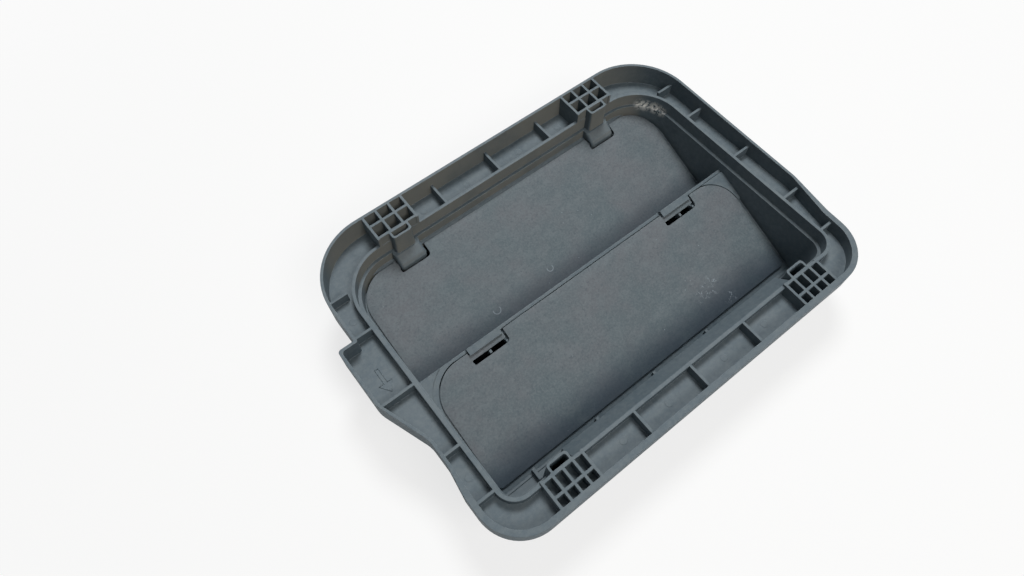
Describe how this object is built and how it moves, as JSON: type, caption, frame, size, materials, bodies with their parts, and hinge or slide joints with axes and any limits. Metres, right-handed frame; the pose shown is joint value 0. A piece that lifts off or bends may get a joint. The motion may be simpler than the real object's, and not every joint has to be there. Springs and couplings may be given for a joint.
{
  "type": "quarter panel pressure vent",
  "caption": "Cabin pressure relief vent: a flanged rectangular duct with two overlapping flap valves, snap arms, push pads and a foam seal.",
  "frame": {"origin": "middle of the duct in the plane of the body panel, where the foam seal meets it", "axes": "+Z outwards, to the side the flaps open to; +X along the long side, away from the tab; +Y to the side the flaps hang from"},
  "size_m": [0.2153, 0.1544, 0.0416],
  "materials": {
    "frame_plastic": "satin moulded",
    "flap_rubber": "matte",
    "seal_foam": "open foam"
  },
  "bodies": {
    "housing": {"frame": "frame_plastic", "foam_seal": "seal_foam"},
    "upper_valve": {"upper_flap": "flap_rubber"},
    "lower_valve": {"lower_flap": "flap_rubber"}
  },
  "joints": [
    {"name": "upper_valve_swing", "type": "hinge", "parent": "housing", "child": "upper_valve", "pos_m": [0, 0.0562, -0.0006], "axis": [-1, 0, 0], "range_deg": [0, 55]},
    {"name": "lower_valve_swing", "type": "hinge", "parent": "housing", "child": "lower_valve", "pos_m": [0, -0.0012, -0.0006], "axis": [-1, 0, 0], "range_deg": [0, 55]}
  ]
}
